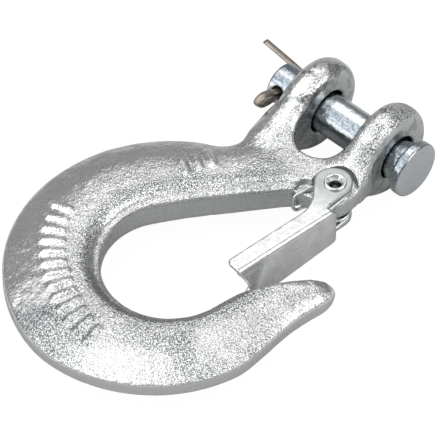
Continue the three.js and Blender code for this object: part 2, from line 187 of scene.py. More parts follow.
def curve_through(points, per_span):
    """Points along a centripetal Catmull-Rom curve, per_span of them from each to the next."""
    given = np.array(points, float)
    given = np.vstack([2 * given[0] - given[1], given, 2 * given[-1] - given[-2]])
    found = []
    for p0, p1, p2, p3 in zip(given, given[1:], given[2:], given[3:]):
        t0 = 0.0
        t1 = t0 + np.linalg.norm(p1 - p0) ** 0.5
        t2 = t1 + np.linalg.norm(p2 - p1) ** 0.5
        t3 = t2 + np.linalg.norm(p3 - p2) ** 0.5
        for t in np.linspace(t1, t2, per_span, endpoint=False):
            a1 = ((t1 - t) * p0 + (t - t0) * p1) / (t1 - t0)
            a2 = ((t2 - t) * p1 + (t - t1) * p2) / (t2 - t1)
            a3 = ((t3 - t) * p2 + (t - t2) * p3) / (t3 - t2)
            b1 = ((t2 - t) * a1 + (t - t0) * a2) / (t2 - t0)
            b2 = ((t3 - t) * a2 + (t - t1) * a3) / (t3 - t1)
            found.append(((t2 - t) * b1 + (t - t1) * b2) / (t2 - t1))
    found.append(given[-2])
    return np.array(found)


def polygon_distance(x, y, polygon):
    """Signed distance in the plane to a closed polygon, negative inside."""
    nearest = np.full(np.broadcast(x, y).shape, np.inf)
    inside = np.zeros(nearest.shape, bool)
    for a, b in zip(polygon, np.roll(polygon, -1, axis=0)):
        edge = b - a
        if edge @ edge < 1e-12:
            continue
        share = np.clip(((x - a[0]) * edge[0] + (y - a[1]) * edge[1]) / (edge @ edge), 0, 1)
        off_x, off_y = x - a[0] - share * edge[0], y - a[1] - share * edge[1]
        nearest = np.minimum(nearest, off_x ** 2 + off_y ** 2)
        if a[1] != b[1]:
            crosses = (a[1] > y) != (b[1] > y)
            inside ^= crosses & (x < a[0] + edge[0] * (y - a[1]) / edge[1])
    return np.where(inside, -1, 1) * np.sqrt(nearest)


# ---------------------------------------------------------------- mesh helpers


def grid(low, high, step):
    """The three axes of a grid, shaped to broadcast against each other."""
    axes = [np.arange(a, b + step, step) for a, b in zip(low, high)]
    return axes[0][:, None, None], axes[1][None, :, None], axes[2][None, None, :]


def origin_and_step(axes):
    x, y, z = (axis.ravel() for axis in axes)
    return np.array([x[0], y[0], z[0]]), x[1] - x[0]


def surface_net(field, axes):
    """The zero surface of a field on a grid, negative inside, as vertices and quads."""
    inside = field < 0
    size_x, size_y, size_z = (n - 1 for n in field.shape)
    count = np.zeros((size_x, size_y, size_z), np.int8)
    for i, j, k in CELL_CORNERS:
        count += inside[i:i + size_x, j:j + size_y, k:k + size_z]
    cells = np.argwhere((count > 0) & (count < len(CELL_CORNERS)))
    index = np.full(count.shape, -1)
    index[tuple(cells.T)] = np.arange(len(cells))
    total = np.zeros((len(cells), 3))
    hits = np.zeros(len(cells))
    quads = []
    for axis in range(3):
        u, v = (axis + 1) % 3, (axis + 2) % 3
        along, side_u, side_v = np.eye(3, dtype=int)[[axis, u, v]]
        for i, j in itertools.product((0, 1), repeat=2):
            start = cells + i * side_u + j * side_v
            f0 = field[tuple(start.T)]
            f1 = field[tuple((start + along).T)]
            crossed = (f0 < 0) != (f1 < 0)
            share = f0[crossed] / (f0[crossed] - f1[crossed])
            total[crossed] += start[crossed] + share[:, None] * along
            hits[crossed] += 1
        lower = np.take(inside, range(field.shape[axis] - 1), axis)
        upper = np.take(inside, range(1, field.shape[axis]), axis)
        edges = np.argwhere(lower != upper)
        shifts = (0 * along, side_u, side_u + side_v, side_v)
        around = np.stack([index[tuple((edges - shift).T)] for shift in shifts], axis=1)
        outward = lower[tuple(edges.T)]
        quads.append(np.where(outward[:, None], around, around[:, ::-1]))
    origin, step = origin_and_step(axes)
    return origin + step * total / hits[:, None], np.concatenate(quads)


def settle(vertices, field, axes, rounds=3):
    """Moves vertices along the field's slope onto its zero surface."""
    origin, step = origin_and_step(axes)

    def sample(points):
        scaled = (points - origin) / step
        cell = np.clip(np.floor(scaled).astype(int), 0, np.array(field.shape) - 2)
        share = scaled - cell
        total = np.zeros(len(points))
        for corner in CELL_CORNERS:
            weight = np.prod(np.where(corner, share, 1 - share), axis=1)
            total += weight * field[tuple((cell + corner).T)]
        return total

    flattest, longest = 0.1, 0.3 * step
    for _ in range(rounds):
        value = sample(vertices)
        slope = np.stack([
            (sample(vertices + d) - sample(vertices - d)) / step for d in np.eye(3) * step / 2
        ], axis=1)
        size = np.maximum((slope ** 2).sum(axis=1), flattest)
        move = -slope * (value / size)[:, None]
        length = np.linalg.norm(move, axis=1, keepdims=True)
        vertices = vertices + move * np.minimum(1, longest / np.maximum(length, 1e-9))
    return vertices


def mesh_piece(name, vertices, faces, material):
    """A smooth-shaded object from vertices in millimetres."""
    mesh = bpy.data.meshes.new(name)
    mesh.from_pydata((np.asarray(vertices) * MM).tolist(), [], [list(map(int, f)) for f in faces])
    mesh.update()
    mesh.shade_smooth()
    mesh.materials.append(material)
    piece = bpy.data.objects.new(name, mesh)
    bpy.context.scene.collection.objects.link(piece)
    return piece


def normals_of(vertices, quads):
    """Unit normals at the vertices, from the quads round each one."""
    corner = vertices[quads]
    face = np.cross(corner[:, 2] - corner[:, 0], corner[:, 3] - corner[:, 1])
    total = np.zeros_like(vertices)
    for i in range(4):
        np.add.at(total, quads[:, i], face)
    return total / np.maximum(np.linalg.norm(total, axis=1, keepdims=True), 1e-12)


def relax(vertices, quads, rounds, share=0.5):
    """Evens a mesh out: each round moves every vertex part of the way to its neighbours."""
    count = np.zeros(len(vertices))
    pairs = [(quads[:, i], quads[:, (i + 1) % 4]) for i in range(4)]
    for a, b in pairs:
        np.add.at(count, a, 1)
        np.add.at(count, b, 1)
    for _ in range(rounds):
        total = np.zeros_like(vertices)
        for a, b in pairs:
            np.add.at(total, a, vertices[b])
            np.add.at(total, b, vertices[a])
        vertices = vertices + share * (total / count[:, None] - vertices)
    return vertices


def set_attribute(piece, name, values):
    """Gives the piece's material one number at each vertex."""
    attribute = piece.data.attributes.new(name, "FLOAT", "POINT")
    attribute.data.foreach_set("value", np.asarray(values, np.float32))


def sweep(path, ring, first_side):
    """A closed tube: the ring's points are carried along the path without twisting."""
    along = np.gradient(path, axis=0)
    along /= np.linalg.norm(along, axis=1, keepdims=True)
    side = np.array(first_side, float)
    vertices = []
    for point, direction in zip(path, along):
        side = side - (side @ direction) * direction
        side /= np.linalg.norm(side)
        other = np.cross(direction, side)
        vertices += [point + a * side + b * other for a, b in ring]
    count = len(ring)
    faces = []
    for step in range(len(path) - 1):
        for i in range(count):
            a, b = step * count + i, step * count + (i + 1) % count
            faces.append([a, b, b + count, a + count])
    last = (len(path) - 1) * count
    faces.append(list(range(count))[::-1])
    faces.append([last + i for i in range(count)])
    return np.array(vertices), faces


# ---------------------------------------------------------------- hook body

HOOK_STEP = 0.42
HOOK_MARGIN = 1.5
HOOK_GRID_HALF_HEIGHT = 14.07


def bowl_sections():
    """The bowl's rows of HOOK_SECTIONS, from the point's side round to the shank's."""
    found = []
    for degrees in BOWL_ANGLES:
        direction = np.array([math.cos(math.radians(degrees)), math.sin(math.radians(degrees))])
        inner = BOWL_INNER_RADIUS + BOWL_INNER_GROWTH * fade(degrees, 130, 70)
        outer = BOWL_OUTER_RADIUS - BOWL_OUTER_SHRINK * max(degrees - BOWL_SHRINK_ANGLE, 0)
        inner_band = BOWL_INNER_BAND - BOWL_BAND_DROP * ramp(degrees, 60, 80)
        found.append((
            *(BOWL_CENTRE + inner * direction),
            *(BOWL_CENTRE + outer * direction),
            BOWL_CROWN, inner_band, BOWL_OUTER_BAND,
        ))
    return found


# Each row, from the point to the neck: the inner edge's X and Y, the outer edge's X and Y, and
# the half heights of the crown, the inner band and the outer band.
HOOK_SECTIONS = [
    (-43.8, -32.6, -44.5, -34.3, 0.9, 0.5, 0.5),
    (-44.8, -30.4, -46.9, -35.3, 2.9, 1.8, 1.3),
    (-47.2, -27.8, -49.9, -35.4, 4.2, 2.6, 1.7),
    (-51.4, -24.0, -54.0, -34.5, 5.0, 2.4, 1.8),
    (-56.4, -20.5, -58.8, -33.8, 5.4, 2.3, 1.8),
    (-61.6, -17.7, -64.8, -33.6, 5.6, 2.1, 1.85),
    (-66.7, -16.3, -71.4, -33.7, 5.7, 2.0, 1.85),
    *bowl_sections(),
    (-47.0, 10.4, -35.0, 29.3, 5.6, 3.3, 1.85),
    (-40.0, 4.6, -31.1, 23.9, 5.5, 3.3, 2.0),
    (-33.5, -0.8, -28.4, 18.4, 5.4, 3.2, 2.4),
    (-27.7, -6.4, -25.4, 15.9, 5.2, 3.0, 2.8),
    (-25.9, -12.5, -21.9, 15.4, 5.1, 2.7, 3.0),
    (-21.0, -17.4, -17.6, 15.6, 5.1, 2.6, 3.2),
    (-15.8, -17.4, -14.8, 16.0, 5.1, 2.6, 3.2),
    (-11.5, -16.5, -11.5, 16.3, 5.1, 2.6, 3.2),
]
SECTION_SPAN_POINTS = 10

# Shares of the way from the inner edge to the outer one.
RISE_SHARE = 0.22
CROWN_SHARE = 0.32
LIP_SHARE = 0.03
LIP_HEIGHT = 0.6
FALL_POWER = 2.3

# Bars round the bowl and on the shank, each with its length, width and height.
BOWL_BAR_ANGLES = np.linspace(101, 185, 13)
BOWL_BAR_ROW = ((101, 122, 145, 166, 185), (32.0, 29.9, 28.5, 29.3, 31.8))
BOWL_BAR_SIZE = (6.8, 1.8, 0.75)
SHANK_BAR_MIDDLE = np.array([-38.6, 17.6])
SHANK_BAR_ANGLE = math.radians(62)
SHANK_BAR_SIZE = (6.4, 1.8, 0.7)

EDGE_ROUNDING = 0.6
NECK_FILLET = 3.2
POCKET_ROUNDING = 0.6
BOSS_FILLET = 0.3
SLOT_ROUNDING = 1.2
BOSS_BORE_ROUNDING = 0.4
PIN_BORE_ROUNDING = 0.8


def plate_edges():
    """The plate's inner and outer edges, point for point, and its three half heights there."""
    sections = np.array(HOOK_SECTIONS)
    inner = curve_through(sections[:, 0:2], SECTION_SPAN_POINTS)
    outer = curve_through(sections[:, 2:4], SECTION_SPAN_POINTS)
    rows = range(len(sections))
    places = np.linspace(0, len(sections) - 1, len(inner))
    heights = [np.interp(places, rows, column) for column in sections[:, 4:7].T]
    return inner, outer, heights


def plate_tree():
    """The hook's top surface, a little past its edges, for finding its height by rays."""
    inner, outer, (crown, inner_band, outer_band) = plate_edges()
    rising = np.linspace(0, CROWN_SHARE, 25)
    falling = np.linspace(CROWN_SHARE, 1, 20)[1:]
    shares = np.concatenate([[-0.12, -0.03], rising, falling, [1.12]])
    rows = []
    for share in shares:
        spot = inner + (outer - inner) * share
        if share <= CROWN_SHARE:
            rise = ramp(max(share, 0), -0.01, RISE_SHARE)
            lip = LIP_HEIGHT * math.exp(-((share - LIP_SHARE) / LIP_SHARE) ** 2)
            height = inner_band + (crown - inner_band) * rise + lip
        else:
            fall = 1 - ((min(share, 1) - CROWN_SHARE) / (1 - CROWN_SHARE)) ** FALL_POWER
            height = outer_band + (crown - outer_band) * fall
        rows.append(np.column_stack([spot, height]))
    vertices = np.concatenate(rows)
    count = len(inner)
    faces = [
        (r * count + i, r * count + i + 1, (r + 1) * count + i + 1, (r + 1) * count + i)
        for r in range(len(rows) - 1)
        for i in range(count - 1)
    ]
    return BVHTree.FromPolygons(vertices.tolist(), faces)


def plate_height(x, y):
    """Half height of the plate at each place of the plan, carried on past its edges."""
    above, carried_cells, far_away = 50, 14, 2.0
    tree = plate_tree()
    down = Vector((0, 0, -1))
    height = np.full((x.size, y.size), np.nan)
    for i, px in enumerate(x.ravel()):
        for j, py in enumerate(y.ravel()):
            hit = tree.ray_cast(Vector((px, py, above)), down)[0]
            if hit is not None:
                height[i, j] = hit.z
    for _ in range(carried_cells):
        known = np.isfinite(height)
        filled = np.where(known, height, 0)
        total = np.zeros_like(height)
        count = np.zeros_like(height)
        for axis in (0, 1):
            for shift in (-1, 1):
                total += np.roll(filled, shift, axis)
                count += np.roll(known, shift, axis)
        carried = np.where(count > 0, total / np.maximum(count, 1), np.nan)
        height = np.where(known, height, carried)
    return np.nan_to_num(height, nan=far_away)


def bar(x, y, middle, angle, length, width, tall):
    """Height of one plain raised bar with soft sides, lying at that angle in the plan."""
    dx, dy = x - middle[0], y - middle[1]
    a = dx * math.cos(angle) + dy * math.sin(angle)
    b = -dx * math.sin(angle) + dy * math.cos(angle)
    past = np.hypot(np.maximum(np.abs(a) - length / 2 + width / 2, 0), b) - width / 2
    return tall * smooth_step(0.5 - past / 0.9)


def raised_marks(x, y):
    """Height of the plain raised bars: a row round the bowl, and three on the shank."""
    total = np.zeros(np.broadcast(x, y).shape)
    for degrees in BOWL_BAR_ANGLES:
        radians = math.radians(degrees)
        radius = np.interp(degrees, *BOWL_BAR_ROW)
        middle = BOWL_CENTRE + radius * np.array([math.cos(radians), math.sin(radians)])
        total = np.maximum(total, bar(x, y, middle, radians, *BOWL_BAR_SIZE))
    for place in (-3.4, 0, 3.4):
        middle = SHANK_BAR_MIDDLE + place * np.array([1, -0.4])
        total = np.maximum(total, bar(x, y, middle, SHANK_BAR_ANGLE, *SHANK_BAR_SIZE))
    return total


def ear_field(x, y, z):
    """Both ears of the clevis, each with rounded edges, running back into the neck."""
    radius = EAR_RADIUS - EAR_ROUNDING
    turn = np.linspace(-EAR_SWEEP, EAR_SWEEP, 50)
    arc = np.column_stack([radius * np.cos(turn), radius * np.sin(turn)])
    share = np.linspace(0, 1, 12)[1:, None]
    waist = (
        (1 - share) ** 2 * arc[-1]
        + 2 * share * (1 - share) * (-12, 2.2)
        + share ** 2 * (-18.5, 0.8)
    )
    outline = np.vstack([arc, waist, waist[::-1] * (1, -1)])
    side = polygon_distance(x[:, 0, :], z[0, 0, :][None, :], outline)[:, None, :]
    half = EAR_THICKNESS / 2 - EAR_ROUNDING
    over = np.abs(np.abs(y) - SLOT_HALF - EAR_THICKNESS / 2) - half
    corner = np.hypot(np.maximum(side, 0), np.maximum(over, 0))
    return corner + np.minimum(np.maximum(side, over), 0) - EAR_ROUNDING


def hook_field(axes):
    """The forging's field: plate and ears, less the latch's pockets, the slot and the bores."""
    x, y, z = axes
    flat_x, flat_y = x[:, :, 0], y[:, :, 0]
    inner, outer, _ = plate_edges()
    edge = polygon_distance(flat_x, flat_y, np.vstack([inner, outer[::-1]]))
    height = plate_height(x, y)
    slope_x, slope_y = np.gradient(height, HOOK_STEP)
    lean = 1 / np.sqrt(1 + slope_x ** 2 + slope_y ** 2)
    marks = raised_marks(flat_x, flat_y)
    tall = height[:, :, None] + np.where(z > 0, marks[:, :, None], 0)
    body = smooth_max(edge[:, :, None], (np.abs(z) - tall) * lean[:, :, None], EDGE_ROUNDING)
    body = smooth_min(body, ear_field(x, y, z), NECK_FILLET)
    from_pivot = np.hypot(x - PIVOT[0], y - PIVOT[1])
    floor = BOSS_HALF - np.abs(z)
    pocket = np.maximum(from_pivot - POCKET_RADIUS, floor)
    from_strand = np.hypot(x - STRAND_RELIEF[0], y - STRAND_RELIEF[1])
    relief = np.maximum(from_strand - STRAND_RELIEF_RADIUS, floor)
    body = smooth_max(body, -np.minimum(pocket, relief), POCKET_ROUNDING)
    body = smooth_min(body, np.maximum(from_pivot - BOSS_RADIUS, -floor), BOSS_FILLET)
    past_floor = x - SLOT_FLOOR_X - SLOT_HALF
    slot = np.where(past_floor > 0, np.abs(y), np.hypot(past_floor, y)) - SLOT_HALF
    body = smooth_max(body, -slot, SLOT_ROUNDING)
    body = smooth_max(body, BOSS_BORE_RADIUS - from_pivot, BOSS_BORE_ROUNDING)
    return smooth_max(body, PIN_BORE_RADIUS - np.hypot(x, z), PIN_BORE_ROUNDING)


def edge_distance(vertices, edge):
    """Distance in the plan from each vertex to the nearest point of an edge."""
    nearest = np.full(len(vertices), np.inf)
    for x, y in edge:
        nearest = np.minimum(nearest, (vertices[:, 0] - x) ** 2 + (vertices[:, 1] - y) ** 2)
    return np.sqrt(nearest)


def forged_dents(vertices, on_top):
    """How far the forging's skin stands off the smooth shape: least in the bores."""
    dents = 0.10 * lumps(vertices, 7.0, 1) + 0.05 * lumps(vertices, 2.6, 2)
    dents = dents + 0.04 * lumps(vertices, 1.3, 3)
    from_bore = np.hypot(vertices[:, 0], vertices[:, 2]) - PIN_BORE_RADIUS
    return (dents - 0.1) * (ramp(from_bore, 0.2, 1.5) * (0.35 + 0.65 * on_top))


def plating_areas(vertices, on_top):
    """Where the plating looks different, from 0 to 1 at each vertex, by the material's names;
    several areas carry painted shade or a painted highlight.
    """
    plate = fade(vertices[:, 0], -24, 3)
    from_bowl = vertices[:, :2] - BOWL_CENTRE
    radius = np.hypot(*from_bowl.T)
    far_side = ramp(from_bowl[:, 1], 2, 14) * ramp(radius, 27, 8)
    arm = ramp(from_bowl[:, 0], 2, 12) * fade(from_bowl[:, 1], -14, 8)
    patchy = 0.8 + 0.35 * lumps(vertices, 9.0, 4)
    inward = edge_distance(vertices, plate_edges()[0]) + 0.5 * lumps(vertices, 5.0, 6)
    # Painted shade: a band just in from the inner edge is darkened in the material; it is also
    # made smoother.
    shaded_hollow = ramp(inward, 0.3, 0.6) * fade(inward, 3.4, 1.2) * plate
    # Painted shade: the inner slope a little further in is darkened as well.
    inner_slope_shade = ramp(inward, 2.6, 1.2) * fade(inward, 7.2, 2.5) * plate
    past_middle = np.degrees(np.arctan2(-from_bowl[:, 1], -from_bowl[:, 0]))
    past_middle = past_middle + 5 * lumps(vertices, 6.0, 9)
    # Painted shade: the bowl's outer crown, and a patch further round, are darkened where the
    # metal reflects darker.
    outer_side = ramp(radius - 2 * lumps(vertices, 4.0, 10), 31, 5)
    rim_shade = outer_side * ramp(past_middle, -32, 12) * fade(past_middle, 14, 18)
    from_patch = np.hypot(np.radians(past_middle - 46) * 28, radius - 29)
    patch_shade = 0.8 * fade(from_patch - 2 * lumps(vertices, 4.0, 12), 7, 5)
    rough = patchy * (1 - 0.72 * far_side) * (1 - 0.35 * arm) * (1 - 0.55 * shaded_hollow)
    return {
        # Side walls: smoother and less grainy, and also painted darker grey as shade in the
        # material.
        "trimmed_and_shaded": 1 - on_top,
        # The rounded edges between top and side walls, which the material whitens as a painted
        # highlight.
        "corner": 4 * on_top * (1 - on_top) * plate,
        "clevis": ramp(vertices[:, 0], -15, 6),
        "shaded_hollow": shaded_hollow * on_top,
        "inner_slope_shade": inner_slope_shade * on_top * (1 - arm),
        "outer_crown_shade": np.maximum(rim_shade, patch_shade) * on_top,
        "rough": np.clip(rough, 0, 1),
    }


def hook_body(material):
    low = [c / MM - HOOK_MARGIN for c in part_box("hook_body")[0]]
    high = [c / MM + HOOK_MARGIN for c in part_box("hook_body")[1]]
    low[2], high[2] = -HOOK_GRID_HALF_HEIGHT, HOOK_GRID_HALF_HEIGHT
    axes = grid(low, high, HOOK_STEP)
    field = hook_field(axes).astype(np.float32)
    vertices, quads = surface_net(field, axes)
    vertices = settle(vertices, field, axes)
    vertices = relax(vertices, quads, 2)
    normals = normals_of(vertices, quads)
    on_top = ramp(np.abs(normals[:, 2]), 0.25, 0.5)
    vertices = vertices + normals * forged_dents(vertices, on_top)[:, None]
    piece = mesh_piece("hook_forging", vertices, quads, material)
    for name, values in plating_areas(vertices, on_top).items():
        set_attribute(piece, name, values)
    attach(piece, "hook")
    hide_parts("hook_body")
    return piece


# ---------------------------------------------------------------- clevis pin and cotter

PIN_STEP = 0.28
PIN_MARGIN = 0.8
PIN_HEAD_ROUNDING = 0.85
PIN_END_ROUNDING = 0.7
PIN_HEAD_FILLET = 0.7
COTTER_HOLE_ROUNDING = 0.5
# The middle of the painted reflection strip along the pin, in degrees round it from +X to +Z.
PIN_REFLECTION_STRIP_ANGLE = 122
PIN_REFLECTION_STRIP_HALF_ANGLE = 19


def rounded_cylinder(from_axis, along, low, high, radius, rounding):
    """The field of a cylinder with rounded ends, from distances off its axis and along it."""
    half = (high - low) / 2 - rounding
    side = from_axis - (radius - rounding)
    end = np.abs(along - (low + high) / 2) - half
    corner = np.hypot(np.maximum(side, 0), np.maximum(end, 0))
    return corner + np.minimum(np.maximum(side, end), 0) - rounding


def clevis_pin(material):
    head_back = PIN_HEAD_FACE_Y + PIN_HEAD_THICKNESS
    reach = PIN_HEAD_RADIUS + PIN_MARGIN
    low = (-reach, PIN_HEAD_FACE_Y - PIN_MARGIN, -reach)
    high = (reach, PIN_END_Y + PIN_MARGIN, reach)
    axes = grid(low, high, PIN_STEP)
    x, y, z = axes
    from_axis = np.hypot(x, z)
    head = rounded_cylinder(
        from_axis, y, PIN_HEAD_FACE_Y, head_back, PIN_HEAD_RADIUS, PIN_HEAD_ROUNDING)
    shank = rounded_cylinder(
        from_axis, y, head_back - 1.8, PIN_END_Y, PIN_RADIUS, PIN_END_ROUNDING)
    field = smooth_min(head, shank, PIN_HEAD_FILLET)
    up = x * math.sin(COTTER_TILT) + z * math.cos(COTTER_TILT)
    hole = COTTER_HOLE_RADIUS - np.hypot(y - COTTER_Y, up)
    field = smooth_max(field, hole, COTTER_HOLE_ROUNDING).astype(np.float32)
    vertices, quads = surface_net(field, axes)
    vertices = settle(vertices, field, axes, 4)
    normals = normals_of(vertices, quads)
    vertices = vertices + normals * (0.018 * lumps(vertices, 3.0, 5) - 0.02)[:, None]
    piece = mesh_piece("headed_clevis_pin", vertices - (0, 0, PIN_DROP), quads, material)
    around = np.arctan2(vertices[:, 2], vertices[:, 0])
    drawn = np.column_stack([5 * np.cos(around), vertices[:, 1] / 9, 5 * np.sin(around)])
    on_side = 1 - ramp(np.abs(normals[:, 1]), 0.5, 0.3)
    turned_away = np.abs((np.degrees(around) - PIN_REFLECTION_STRIP_ANGLE + 180) % 360 - 180)
    set_attribute(piece, "drawn", 0.5 + 0.5 * on_side * lumps(drawn, 1.7, 12))
    # Painted reflection: a strip along the pin that the material turns blue-black.
    set_attribute(piece, "dark_reflection_strip", on_side * fade(turned_away, PIN_REFLECTION_STRIP_HALF_ANGLE, 5))
    set_attribute(piece, "flat", 1 - on_side)
    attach(piece, "pin")
    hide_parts("clevis_pin")
    return piece


def cotter_points(points):
    """From the cotter's own frame: A along its legs, B along the pin, C across both."""
    a, b, c = np.array(points, float).T
    return np.column_stack([
        a * math.cos(COTTER_TILT) + c * math.sin(COTTER_TILT),
        COTTER_Y + b,
        -a * math.sin(COTTER_TILT) + c * math.cos(COTTER_TILT) - PIN_DROP,
    ])


def cotter_pin(material):
    """Half-round wire, folded double: one leg bent along the pin, the other down its end."""
    gap = COTTER_GAP
    long_leg = [
        (7.4, 15.3, 2.9), (7.4, 9, 2), (7.4, 4.5, 1.3), (7.1, 1.6, gap + 0.1), (6.2, 0.1, gap),
        (5.4, 0, gap), (0, 0, gap),
    ]
    eye = [
        (-5.8, 0, gap), (-7.0, 0, gap + 0.3), (-9.2, 0, gap + 0.75), (-12.0, 0, gap + 0.6),
        (-13.5, 0, 0),
    ]
    short_leg = [
        (0, 0, -gap), (5.4, 0, -gap), (6.4, 0.1, -gap - 0.1),
        (7.3, 0.4, -gap - 1.5), (7.4, 0.6, -gap - 4), (7.0, 1, -gap - 8),
    ]
    eye += [(a, b, -c) for a, b, c in reversed(eye[:-1])]
    path = curve_through(cotter_points(long_leg + eye + short_leg), 8)
    ring = []
    for turn in np.linspace(0, 2 * math.pi, 16, endpoint=False):
        flat = 0.8 if math.sin(turn) > 0 else 1
        across = math.copysign(abs(math.cos(turn)) ** 0.8, math.cos(turn))
        ring.append((COTTER_HALF_WIDTH * across, COTTER_HALF_THICKNESS * flat * math.sin(turn)))
    first_side = cotter_points([(1, 0, 0)])[0] - cotter_points([(0, 0, 0)])[0]
    vertices, faces = sweep(path, ring, first_side)
    piece = mesh_piece("bent_cotter", vertices, faces, material)
    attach(piece, "pin")
    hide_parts("cotter_pin")
    return piece


# ---------------------------------------------------------------- latch, rivet and spring

LATCH_STEP = 0.25


def on_pivot(points):
    """From the latch's own frame, U along it and V out of the throat, to the row frame."""
    u, v, z = np.asarray(points, float).T
    cos, sin = math.cos(LATCH_ANGLE), math.sin(LATCH_ANGLE)
    return np.column_stack([PIVOT[0] + u * cos - v * sin, PIVOT[1] + u * sin + v * cos, z])


def latch_side_outline(corner):
    """The latch seen along Z: its ear, its lip, its free end and the near end of its web."""
    turn = np.linspace(math.pi / 2, 2 * math.pi + math.atan2(-2.85, 4), 40)
    ear = LATCH_EAR_RADIUS * np.column_stack([np.cos(turn), np.sin(turn)]) + (0, LATCH_EAR_V)
    share = np.linspace(0, 1, 12)[1:, None]
    throat = (
        (1 - share) ** 3 * ear[-1]
        + 3 * share * (1 - share) ** 2 * (6.2, -1.9)
        + 3 * share ** 2 * (1 - share) * (7.6, 1.2)
        + share ** 3 * (13, LATCH_LIP_V)
    )
    beyond_web = 14
    end = [
        (LATCH_LENGTH - corner, LATCH_LIP_V),
        (LATCH_LENGTH - 0.3 * corner, LATCH_LIP_V + 0.3 * corner),
        (LATCH_LENGTH, LATCH_LIP_V + corner),
        (LATCH_LENGTH, beyond_web),
        (LATCH_NEAR_EDGE, beyond_web),
        (LATCH_NEAR_EDGE, 4.2),
    ]
    return np.vstack([ear, throat, end])


def latch_field(axes):
    """The latch's field: a bent sheet that flares and is dished and notched at its free end."""
    u, v, z = axes
    along = np.maximum(u - LATCH_WEB_START, 0) / (LATCH_LENGTH - LATCH_WEB_START)
    half = LATCH_HALF_WIDTH + LATCH_FLARE * along
    level = np.clip(np.abs(z) / (half - LATCH_BEND), 0, 1)
    dish = smooth_step(1 - (LATCH_LENGTH - u) / LATCH_BULGE_LENGTH)
    dished_v = v - LATCH_BULGE * dish * np.cos(level * math.pi / 2)
    notched_u = u + LATCH_NOTCH * (1 - level ** 2) * dish ** 2
    bend = LATCH_BEND - LATCH_SHEET / 2
    out = dished_v - (LATCH_WEB_V - LATCH_BEND)
    side = np.abs(z) - (half - LATCH_BEND)
    round_bend = np.hypot(np.maximum(out, 0), np.maximum(side, 0))
    shell = np.abs(round_bend + np.minimum(np.maximum(out, side), 0) - bend) - LATCH_SHEET / 2
    upper, lower = (
        polygon_distance(u[:, :, 0], v[:, :, 0], latch_side_outline(corner))[:, :, None]
        for corner in (LATCH_UPPER_CORNER, LATCH_LOWER_CORNER)
    )
    flat = np.where(z > 0, upper, lower)
    end = notched_u - LATCH_LENGTH
    near_edge = LATCH_NEAR_EDGE + LATCH_NEAR_SWEEP * ramp(np.abs(z), 3.5, 3.5) ** 2
    web = np.where(v > LATCH_THROAT_TOP, near_edge - u, -10.0)
    field = smooth_max(smooth_max(shell, np.maximum(flat, end), 0.35), web, 0.3)
    return smooth_max(field, LATCH_EAR_HOLE_RADIUS - np.hypot(u, v), 0.2)


def safety_latch(material):
    axes = grid((-5.6, -6.4, -9), (LATCH_LENGTH + 0.8, 10.6, 9), LATCH_STEP)
    field = latch_field(axes).astype(np.float32)
    vertices, quads = surface_net(field, axes)
    vertices = settle(vertices, field, axes, 4)
    vertices = relax(vertices, quads, 1, 0.4)
    normals = normals_of(vertices, quads)
    vertices = vertices + normals * (0.03 * lumps(vertices, 6.0, 8))[:, None]
    piece = mesh_piece("pressed_latch", on_pivot(vertices), quads, material)
    set_attribute(piece, "ear", 1 - ramp(vertices[:, 0], 3, 6))
    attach(piece, "latch")
    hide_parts("safety_latch")
    return piece


def tube_rivet(material):
    """A tube with both ends rolled over, turned round the pivot."""
    hole, roll = RIVET_HOLE_RADIUS, RIVET_ROLL_RADIUS
    roll_radius = RIVET_RIM_RADIUS - roll
    profile = [
        (hole, 0), (hole, 3.6), (hole - 0.12, 4.2), (hole, 4.6),
        (hole + 0.04, 5.6), (hole + 0.22, 6.15),
    ]
    for turn in np.linspace(math.radians(165), math.radians(-80), 14):
        height = RIVET_RIM_TOP - roll + roll * math.sin(turn)
        profile.append((roll_radius + roll * math.cos(turn), height))
    profile += [(RIVET_RADIUS, 6.52), (RIVET_RADIUS, 3)]
    whole = profile + [(radius, -height) for radius, height in reversed(profile) if height > 0]
    vertices = []
    for turn in np.linspace(0, 2 * math.pi, RIVET_SIDES, endpoint=False):
        cos, sin = math.cos(turn), math.sin(turn)
        vertices += [(radius * cos, radius * sin, height) for radius, height in whole]
    count = len(whole)
    faces = []
    for side in range(RIVET_SIDES):
        here, there = side * count, (side + 1) % RIVET_SIDES * count
        for i in range(count):
            after = (i + 1) % count
            faces.append((there + i, there + after, here + after, here + i))
    piece = mesh_piece("rolled_rivet", on_pivot(vertices), faces, material)
    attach(piece, "latch")
    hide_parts("latch_rivet")
    return piece


def spring_path():
    """The wire's middle line in the latch's own frame, from one leg to the other."""
    half = [
        (13.5, 5.2, SPRING_COIL_TOP - 0.2),
        (9, 4.95, SPRING_COIL_TOP - 0.1),
        (4, SPRING_COIL_RADIUS + 0.4, SPRING_COIL_TOP),
    ]
    for step in range(round(SPRING_TURNS * SPRING_TURN_POINTS) + 1):
        turn = math.pi / 2 + 2 * math.pi * step / SPRING_TURN_POINTS
        half.append((
            SPRING_COIL_RADIUS * math.cos(turn),
            SPRING_COIL_RADIUS * math.sin(turn),
            SPRING_COIL_TOP - SPRING_PITCH * step / SPRING_TURN_POINTS,
        ))
    strand = SPRING_COIL_TOP - SPRING_PITCH * SPRING_TURNS
    half += [
        (3.1, -4.7, strand + 0.05), (5.6, -5.4, strand),
        (7.8, -5.8, strand - 0.3), (8.6, -6, strand - 1.5),
    ]
    return half + [(8.7, -6.1, 0)] + [(u, v, -z) for u, v, z in reversed(half)]


def latch_spring(material):
    """A double torsion spring: its coil round the pivot and its two legs, swept as one wire."""
    path = curve_through(on_pivot(spring_path()), 5)
    ring = [
        (SPRING_WIRE_RADIUS * math.cos(turn), SPRING_WIRE_RADIUS * math.sin(turn))
        for turn in np.linspace(0, 2 * math.pi, 12, endpoint=False)
    ]
    vertices, faces = sweep(path, ring, (0, 0, 1))
    piece = mesh_piece("torsion_spring", vertices, faces, material)
    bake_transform(piece)
    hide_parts("latch_spring")
    return piece


# ---------------------------------------------------------------- materials


